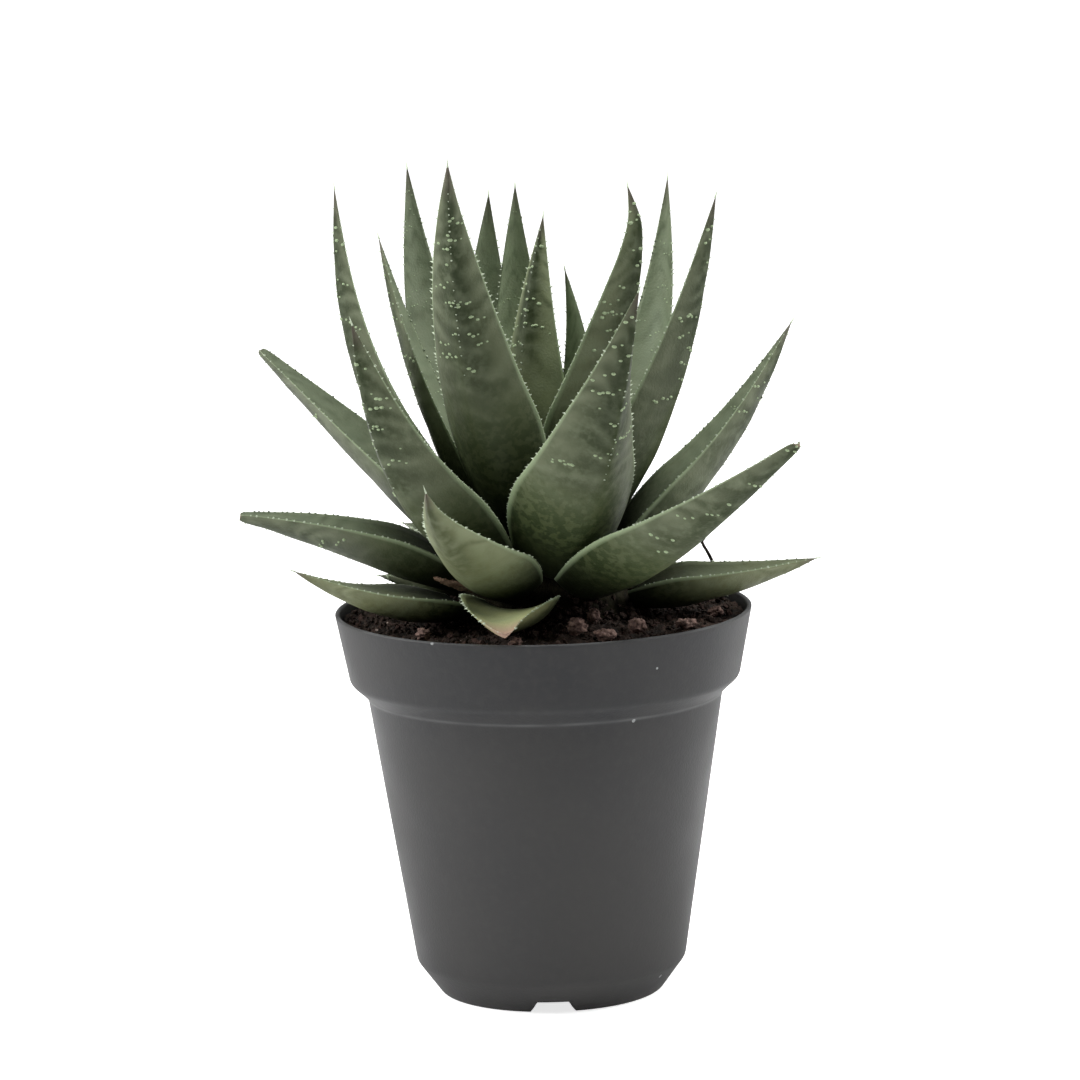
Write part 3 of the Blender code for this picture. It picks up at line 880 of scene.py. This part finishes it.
class LeafShape:
    """The surface of one leaf, as points by share of length and by place across."""

    def __init__(self, node, seed):
        self.stations = read_leaf(node)
        self.seed = Vector((seed * 3.1, seed * 1.7, seed * 0.9))
        middles = [station[0] for station in self.stations]
        self.length = sum((b - a).length for a, b in zip(middles, middles[1:]))

    def point(self, share, across, under):
        middle, side, up, half, sag, deep = station_at(self.stations, share)
        edge = 1 - across * across
        height = sag * edge
        if under:
            rounded_back = max(0.0, edge) ** BACK_FULLNESS
            folded_back = 1 - abs(across)
            keel = max(0.0, min(1.0, (share - KEEL_FROM) / KEEL_GROWTH))
            height -= deep * (rounded_back + (folded_back - rounded_back) * keel * 0.85)
        along = share * self.length
        ripple = noise.noise(Vector((along / RIPPLE_LENGTH, across * 1.2, under)) + self.seed)
        waver = noise.noise(Vector((along / WAVER_LENGTH, 0, across)) + self.seed * 2)
        fade = min(1.0, half / (4 * MM)) * min(1.0, share * 8)
        height += ripple * RIPPLE * fade * edge * (1.0 if not under else -1.0)
        reach = across * half * (1 + WAVER * waver * fade)
        return middle + side * reach + up * height

    def facing(self, share, across, under):
        """Point, outward normal and direction towards the tip."""
        here = self.point(share, across, under)
        ahead = self.point(min(0.995, share + 0.004), across, under)
        ahead -= self.point(share - 0.004, across, under)
        aside = self.point(share, across + 0.02, under) - self.point(share, across - 0.02, under)
        outward = aside.cross(ahead).normalized()
        up = station_at(self.stations, share)[2]
        if (outward.dot(up) > 0) == bool(under):
            outward = -outward
        return here, outward, ahead.normalized()


def bands_at(shape, share, across):
    """Growth bands that cross a leaf in shallow arcs, uneven and broken: how pale, and how dark the painted
    shadow between them is, which stands for the shade under rows of warts.
    """
    along = share * shape.length / GROWTH_BAND + 0.4 * across * across
    along += 1.2 * noise.noise(Vector((share * 6, across * 1.2, 0)) + shape.seed)
    wave = 0.5 + 0.5 * math.cos(math.tau * along)
    broken = 0.5 + noise.noise(Vector((share * 11, across * 2.5, 5)) + shape.seed)
    broken = max(0.0, min(1.0, broken))
    upper_part = max(0.0, min(1.0, (share - 0.35) / 0.25))
    return wave**3 * broken, (1 - wave) ** 3 * broken * upper_part


def add_point(kit, place, masks):
    kit["vertices"].append(tuple(place))
    for name, value in masks.items():
        kit["masks"][name].append(value)
    return len(kit["vertices"]) - 1


def add_cone(kit, foot, direction, radius, height, sides, masks):
    """A tooth or an awn: a small cone sunk a little into the skin."""
    turn = direction.to_track_quat("Z", "Y").to_matrix()
    base = foot - direction * radius * 0.5
    ring = [
        add_point(kit, base + turn @ Vector((radius * math.cos(a), radius * math.sin(a), 0)), masks)
        for a in (math.tau * n / sides for n in range(sides))
    ]
    apex = add_point(kit, foot + direction * height, masks)
    kit["faces"] += [(ring[n], ring[(n + 1) % sides], apex) for n in range(sides)]


def add_wart(kit, place, outward, aside, radius, height, masks):
    """A raised pale wart, drawn out sideways: a low dome of two rings and a top."""
    sideways = (aside - outward * aside.dot(outward)).normalized() * radius * WART_STRETCH
    lengthways = outward.cross(sideways).normalized() * radius
    rings = []
    for reach, lift in ((1.0, -0.15), (0.62, 0.7)):
        rings.append([])
        for n in range(6):
            turn = math.tau * n / 6
            spread = sideways * math.cos(turn) + lengthways * math.sin(turn)
            rings[-1].append(add_point(kit, place + spread * reach + outward * height * lift, masks))
    top = add_point(kit, place + outward * height, masks)
    for n in range(6):
        following = (n + 1) % 6
        kit["faces"].append((rings[0][n], rings[0][following], rings[1][following], rings[1][n]))
        kit["faces"].append((rings[1][n], rings[1][following], top))


def add_skin(kit, shape):
    """The leaf's own closed surface, station by station."""
    around = [(2 * n / UPPER_STEPS - 1, 0) for n in range(UPPER_STEPS + 1)]
    around += [(math.cos(math.pi * n / LOWER_STEPS), 1) for n in range(1, LOWER_STEPS)]
    rings = []
    for n in range(LEAF_STATIONS + 1):
        share = n / LEAF_STATIONS
        ring = []
        for across, under in around:
            pale, dark = bands_at(shape, share, across)
            masks = {
                "leaf_share": share,
                "leaf_edge": abs(across),
                "leaf_back": float(under) if abs(across) < 0.97 else 0.5,
                "leaf_band": pale,
                "leaf_painted_shadow": dark,
                "leaf_wart": 0.0,
            }
            ring.append(add_point(kit, shape.point(min(share, 0.9995), across, under), masks))
        rings.append(ring)
    count = len(around)
    for lower, upper in zip(rings, rings[1:]):
        for n in range(count):
            m = (n + 1) % count
            kit["faces"].append((lower[n], lower[m], upper[m], upper[n]))
    kit["faces"].append(tuple(reversed(rings[0])))
    kit["faces"].append(tuple(rings[-1]))


def add_teeth(kit, shape, draw, keel_teeth, has_point):
    """White teeth down both edges, and along the keel towards the tip."""
    masks = {**PLAIN_SKIN, "leaf_edge": 1.0, "leaf_back": 0.5, "leaf_wart": 1.0}
    for side in (-1, 1):
        share = TEETH_FROM
        while share < TEETH_TO:
            middle, across, up, half = station_at(shape.stations, share)[:4]
            ahead = station_at(shape.stations, min(1.0, share + 0.01))[0] - middle
            point = shape.point(share, side, 0)
            lean = across * side + ahead.normalized() * draw.uniform(0.2, 0.7)
            lean += up * draw.uniform(-0.15, 0.3)
            size = draw.uniform(0.4, 1.15) * min(1.0, 0.45 + share * 1.2)
            size *= min(1.0, 0.35 + half / (6 * MM))
            add_cone(kit, point, lean.normalized(), TOOTH_RADIUS * size, TOOTH_HEIGHT * size, 5, masks)
            share += TOOTH_SPACING * draw.uniform(0.6, 1.7) / shape.length
    share = KEEL_TEETH_FROM
    while share < KEEL_TEETH_TO:
        point, outward, ahead = shape.facing(share, 0.0, 1)
        size = draw.uniform(0.5, 0.95)
        if draw.random() < keel_teeth:
            lean = (outward + ahead * 0.4).normalized()
            add_cone(kit, point, lean, TOOTH_RADIUS * size, TOOTH_HEIGHT * size * 0.8, 5, masks)
        share += TOOTH_SPACING * draw.uniform(1.0, 1.9) / shape.length
    if has_point:
        tip, before = shape.stations[-1][0], shape.stations[-2][0]
        inside = station_at(shape.stations, 0.985)[0]
        add_cone(kit, inside, (tip - before).normalized(), AWN_RADIUS, AWN_LENGTH, 6, masks)


def add_warts(kit, shape, draw, thickness):
    """Warts in short rows that arch across the back, closest in its upper part, and a few above."""
    masks = {**PLAIN_SKIN, "leaf_wart": 0.5}
    for under, chance in ((1, thickness), (0, thickness * UPPER_WARTS)):
        share = WARTS_FROM
        while share < 0.95:
            half = station_at(shape.stations, share)[3]
            clear = min(1.0, (share - WARTS_FROM + 0.03) / 0.25)
            for _ in range(max(1, round(half / (4 * MM)))):
                middle = draw.uniform(-0.8, 0.8)
                count = draw.choice((1, 2, 3, 3, 4, 5))
                if draw.random() > chance * clear:
                    continue
                gap = WART_SPACING / max(half, 2 * MM)
                for n in range(count):
                    across = middle + (n - count / 2) * gap * draw.uniform(0.7, 1.3)
                    if abs(across) > 0.9:
                        continue
                    spot = min(0.96, share - 0.03 * across * across + draw.uniform(-0.008, 0.008))
                    place, outward, _ = shape.facing(spot, across, under)
                    aside = station_at(shape.stations, spot)[1]
                    size = draw.uniform(0.55, 1.2) * (0.6 if under == 0 else 1.0)
                    add_wart(kit, place, outward, aside, WART_RADIUS * size, WART_HEIGHT * size, masks)
            share += WART_ROWS * draw.uniform(0.7, 1.3) / shape.length


def leaf_material(name, habit, tone):
    """Waxy skin: plain above, olive along the keel below, mottled at the foot, brown at the tip."""
    material, tree, shader = new_material(name)
    mottle = place_group(tree, MOTTLE, patch_scale=95.0, grain_scale=1500.0)
    flecks = place_group(tree, MOTTLE, patch_scale=420.0, grain_scale=900.0)
    blotches = place_group(tree, MOTTLE, patch_scale=430.0, grain_scale=700.0)
    dust = place_group(tree, DUST, speck_scale=500.0, amount=0.15)
    share = read_mask(tree, "leaf_share")
    back = read_mask(tree, "leaf_back")
    aside = read_mask(tree, "leaf_edge")
    shaded = tuple(channel * tone for channel in BACK_GREEN[:3]) + (1,)
    lit = tuple(channel * tone for channel in UPPER_GREEN[:3]) + (1,)
    patches = mottle.outputs["Patches"]
    below = blend_colours(tree, spread_range(tree, patches, 0.3, 1.0, 0.0, 0.45), shaded, BACK_DARK)
    middle = spread_range(tree, aside, 0.88, 0.3)
    keel = multiply(tree, middle, spread_range(tree, share, 0.3, 0.65, 0.25, 1.0))
    below = blend_colours(tree, keel, below, BACK_DARK)
    # Painted highlight: the back is painted paler towards its edges, for the side light on the facets near
    # the margins.
    below = blend_colours(tree, spread_range(tree, aside, 0.5, 0.95, 0.0, 0.25), below, WAX_BLOOM_AND_SHEEN)
    above = blend_colours(tree, spread_range(tree, patches, 0.0, 1.0, 0.0, 0.3), lit, shaded)
    colour = blend_colours(tree, back, above, below)
    bands = multiply(tree, read_mask(tree, "leaf_band"), 0.38)
    colour = blend_colours(tree, bands, colour, WAX_BLOOM_AND_SHEEN)
    # Painted shadow: dark arcs across the upper part of the leaf, for the shade that falls under rows of
    # warts.
    depth = spread_range(tree, back, 0.0, 1.0, 0.45, 0.65)
    painted_shadows = multiply(tree, read_mask(tree, "leaf_painted_shadow"), depth)
    colour = blend_colours(tree, painted_shadows, colour, BACK_DARK)
    bloom = multiply(tree, spread_range(tree, flecks.outputs["Patches"], 0.3, 1.0, 0.0, 0.35), patches)
    colour = blend_colours(tree, bloom, colour, WAX_BLOOM_AND_SHEEN)
    if habit["yellow"] > 0:
        aged = spread_range(tree, patches, 0.0, 1.0, habit["yellow"] * 0.6, habit["yellow"])
        colour = blend_colours(tree, aged, colour, YELLOWED)
    foot = spread_range(tree, share, 0.2, 0.42, habit["base"], 0.0)
    foot = multiply(tree, foot, spread_range(tree, back, 0.0, 1.0, 0.3, 1.0))
    colour = blend_colours(tree, multiply(tree, foot, 0.7), colour, BASE_PALE)
    blotched = spread_range(tree, blotches.outputs["Patches"], 0.35, 0.6, 0.0, 0.9)
    colour = blend_colours(tree, multiply(tree, foot, blotched), colour, BASE_FLECK)
    colour = blend_colours(tree, spread_range(tree, share, 0.08, 0.38, 0.95, 0.0), colour, DEEP_SHADE)
    colour = blend_colours(tree, spread_range(tree, share, 0.9, 0.985, 0.0, 0.8), colour, TIP_BROWN)
    if habit["dead"] > 0:
        dried = spread_range(tree, share, 1 - habit["dead"] * 1.6, 1 - habit["dead"] * 0.5)
        colour = blend_colours(tree, dried, colour, DEAD_END)
    colour = blend_colours(tree, spread_range(tree, aside, 0.95, 0.99, 0.0, 0.7), colour, WART_PALE)
    colour = blend_colours(tree, dust.outputs["Dust"], colour, WAX_BLOOM_AND_SHEEN)
    raised = read_mask(tree, "leaf_wart")
    colour = blend_colours(tree, spread_range(tree, raised, 0.0, 0.5), colour, WART_PALE)
    colour = blend_colours(tree, spread_range(tree, raised, 0.5, 1.0), colour, TOOTH_WHITE)
    wire(tree, colour, shader.inputs["Base Color"])
    wire(tree, spread_range(tree, patches, 0.0, 1.0, 0.5, 0.65), shader.inputs["Roughness"])
    shader.inputs["Specular IOR Level"].default_value = 0.22
    roughen(tree, shader, mottle.outputs["Grain"], 0.00012, 0.35)
    return material


def make_leaf(node, seed):
    habit = {**USUAL_HABIT, **LEAF_HABITS.get(node, {})}
    draw = random.Random(seed)
    tone = habit["tone"] * draw.uniform(0.9, 1.12)
    shape = LeafShape(node, seed)
    has_point = (shape.stations[-1][0] - shape.stations[-2][0]).length > 3 * MM
    kit = {"vertices": [], "faces": [], "masks": {name: [] for name in PLAIN_SKIN}}
    add_skin(kit, shape)
    add_teeth(kit, shape, draw, habit["keel_teeth"], has_point)
    add_warts(kit, shape, draw, habit["warts"])
    material = leaf_material(node + "_skin", habit, tone)
    set_piece(node + "_grown", kit["vertices"], kit["faces"], material, [node], kit["masks"])


for seed, leaf in enumerate(sorted(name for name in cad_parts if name.startswith("leaf_")), start=1):
    make_leaf(leaf, seed)


# ---------------------------------------------------------------- dried leaves
# Two old leaves that have died back to papery, wrinkled brown strips. They are still held where they
# grew, between the feet of the live leaves.

DRIED_BROWN = (0.1, 0.055, 0.03, 1)
DRIED_TAN = (0.36, 0.24, 0.17, 1)
WRINKLE_CUTS = 2
WRINKLE = 0.5 * MM
WRINKLE_GRAIN = 1.6 * MM
DRIED_MATERIAL = woody_material("dried_leaf", DRIED_BROWN, DRIED_TAN, 350.0, 1400.0)
for leaf in ("dried_leaf_left", "dried_leaf_right"):
    name = leaf + "_wrinkled"
    grained(leaf, name, WRINKLE_CUTS, WRINKLE, WRINKLE_GRAIN, DRIED_MATERIAL)
